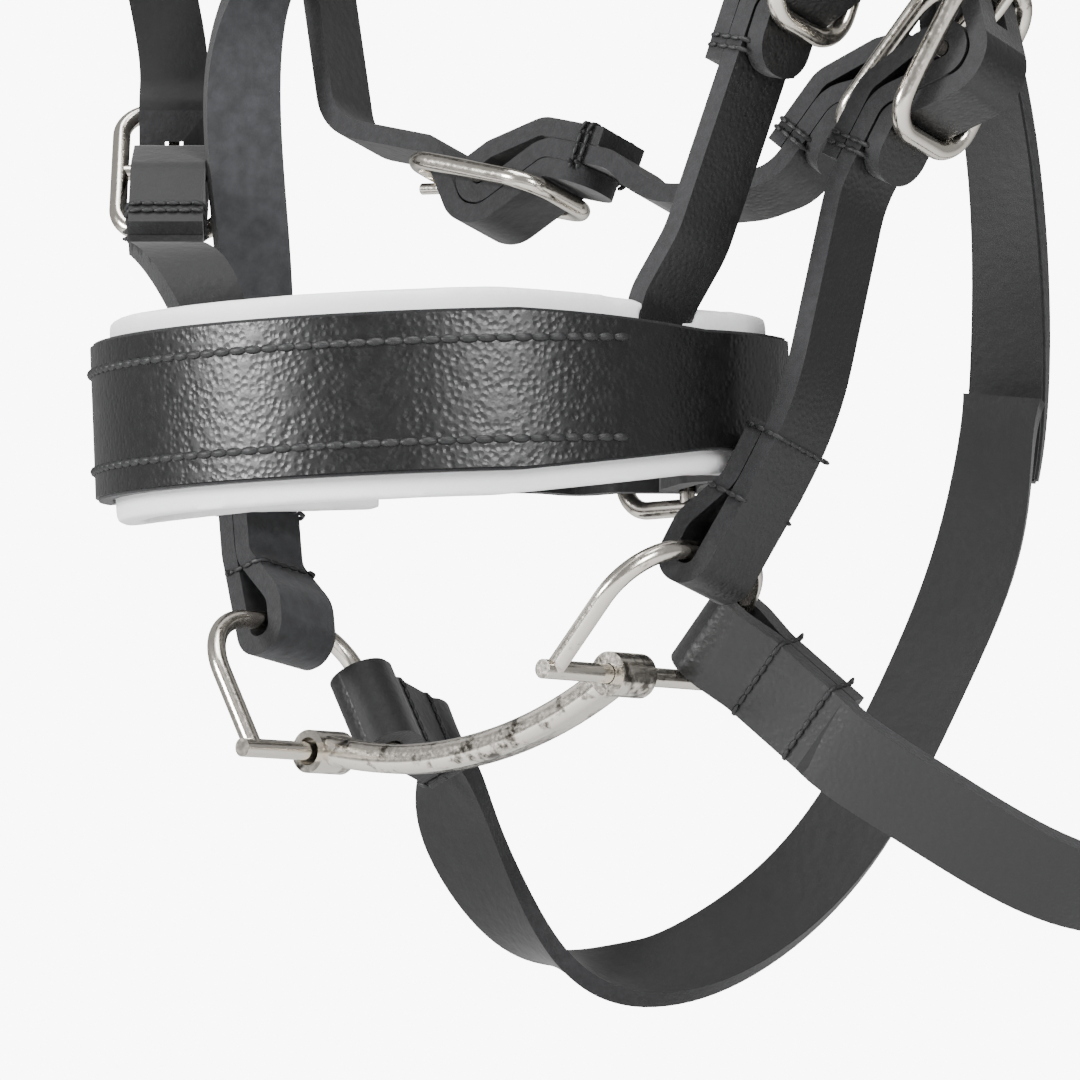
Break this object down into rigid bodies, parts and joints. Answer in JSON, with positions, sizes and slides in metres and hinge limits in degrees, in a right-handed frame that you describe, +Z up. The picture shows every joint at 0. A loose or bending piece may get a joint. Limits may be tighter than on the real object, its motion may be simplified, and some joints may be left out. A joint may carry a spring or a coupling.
{
  "type": "miniature bridle with bit",
  "caption": "Small black leather English bridle with white padding, buckled straps, reins, and a nickel D-ring bit with an unjointed curved mouthpiece",
  "frame": {"origin": "underside of the leather crown at the poll, midway across the head", "axes": "+Z up, horse faces -Y, +X the horse's left (near) side"},
  "size_m": [0.1043, 0.1242, 0.151],
  "materials": {
    "black_leather": "semi-gloss black goat-grain leather",
    "white_padding": "soft smooth white leather over padding",
    "nickel_wire": "bright nickel-plated steel wire"
  },
  "bodies": {
    "bridle": {"noseband_band": "black_leather", "noseband_hanger_near": "black_leather", "noseband_hanger_far": "black_leather", "chin_strap": "black_leather", "chin_billet": "black_leather", "noseband_headstrap": "black_leather", "bridle_headstrap": "black_leather", "cheekpiece_near": "black_leather", "cheekpiece_far": "black_leather", "throatlatch": "black_leather", "browband": "black_leather", "rein_top_near": "black_leather", "rein_top_far": "black_leather", "noseband_padding": "white_padding", "browband_padding": "white_padding", "cheek_near_buckle": "nickel_wire", "cheek_far_buckle": "nickel_wire", "hanger_near_buckle": "nickel_wire", "hanger_far_buckle": "nickel_wire", "throat_near_buckle": "nickel_wire", "throat_far_buckle": "nickel_wire", "chin_buckle": "nickel_wire"},
    "bit_ring_near": {"d_ring_near": "nickel_wire", "rein_near": "black_leather"},
    "bit_ring_far": {"d_ring_far": "nickel_wire", "rein_far": "black_leather"},
    "bit_mouth": {"mouthpiece": "nickel_wire"},
    "cheek_near_pin": {"cheek_near_tongue": "nickel_wire"},
    "cheek_far_pin": {"cheek_far_tongue": "nickel_wire"},
    "hanger_near_pin": {"hanger_near_tongue": "nickel_wire"},
    "hanger_far_pin": {"hanger_far_tongue": "nickel_wire"},
    "throat_near_pin": {"throat_near_tongue": "nickel_wire"},
    "throat_far_pin": {"throat_far_tongue": "nickel_wire"},
    "chin_pin": {"chin_tongue": "nickel_wire"}
  },
  "joints": [
    {"name": "cheek_near_tongue_hinge", "type": "hinge", "parent": "bridle", "child": "cheek_near_pin", "pos_m": [0.0423, -0.01009, -0.063], "axis": [-0.0978, 0.9703, -0.2211], "range_deg": [0, 8]},
    {"name": "cheek_far_tongue_hinge", "type": "hinge", "parent": "bridle", "child": "cheek_far_pin", "pos_m": [-0.0403, -0.0114, -0.03219], "axis": [0.0978, -0.9703, 0.2211], "range_deg": [0, 8]},
    {"name": "hanger_near_tongue_hinge", "type": "hinge", "parent": "bridle", "child": "hanger_near_pin", "pos_m": [0.036, -0.02079, -0.0532], "axis": [-0.0475, 0.9759, -0.2132], "range_deg": [0, 8]},
    {"name": "hanger_far_tongue_hinge", "type": "hinge", "parent": "bridle", "child": "hanger_far_pin", "pos_m": [-0.0481, -0.01759, -0.0652], "axis": [-0.7431, -0.6691, 0], "range_deg": [0, 8]},
    {"name": "throat_near_tongue_hinge", "type": "hinge", "parent": "bridle", "child": "throat_near_pin", "pos_m": [0.0297, -0.00125, -0.0616], "axis": [-0.0978, 0.9703, -0.2211], "range_deg": [0, 8]},
    {"name": "throat_far_tongue_hinge", "type": "hinge", "parent": "bridle", "child": "throat_far_pin", "pos_m": [-0.0152, -0.00735, -0.0685], "axis": [0.0978, -0.9703, 0.2211], "range_deg": [0, 8]},
    {"name": "chin_tongue_hinge", "type": "hinge", "parent": "bridle", "child": "chin_pin", "pos_m": [-0.0045, 0.00701, -0.0933], "axis": [0, 0, -1], "range_deg": [0, 8]},
    {"name": "ring_near_swing", "type": "hinge", "parent": "bridle", "child": "bit_ring_near", "pos_m": [0.0233, -0.02179, -0.10595], "axis": [0, 1, 0], "range_deg": [-3, 3]},
    {"name": "ring_far_swing", "type": "hinge", "parent": "bridle", "child": "bit_ring_far", "pos_m": [-0.0303, -0.02019, -0.1093], "axis": [0, 1, 0], "range_deg": [-2, 2]},
    {"name": "mouthpiece_turn", "type": "hinge", "parent": "bit_ring_near", "child": "bit_mouth", "pos_m": [0.01344, -0.02239, -0.11631], "axis": [0, 1, 0], "range_deg": [-4.2, 4.2]}
  ],
  "couplings": [
    {"joint": "ring_far_swing", "follows": "ring_near_swing", "ratio": 0.66},
    {"joint": "mouthpiece_turn", "follows": "ring_near_swing", "ratio": -1.395}
  ]
}
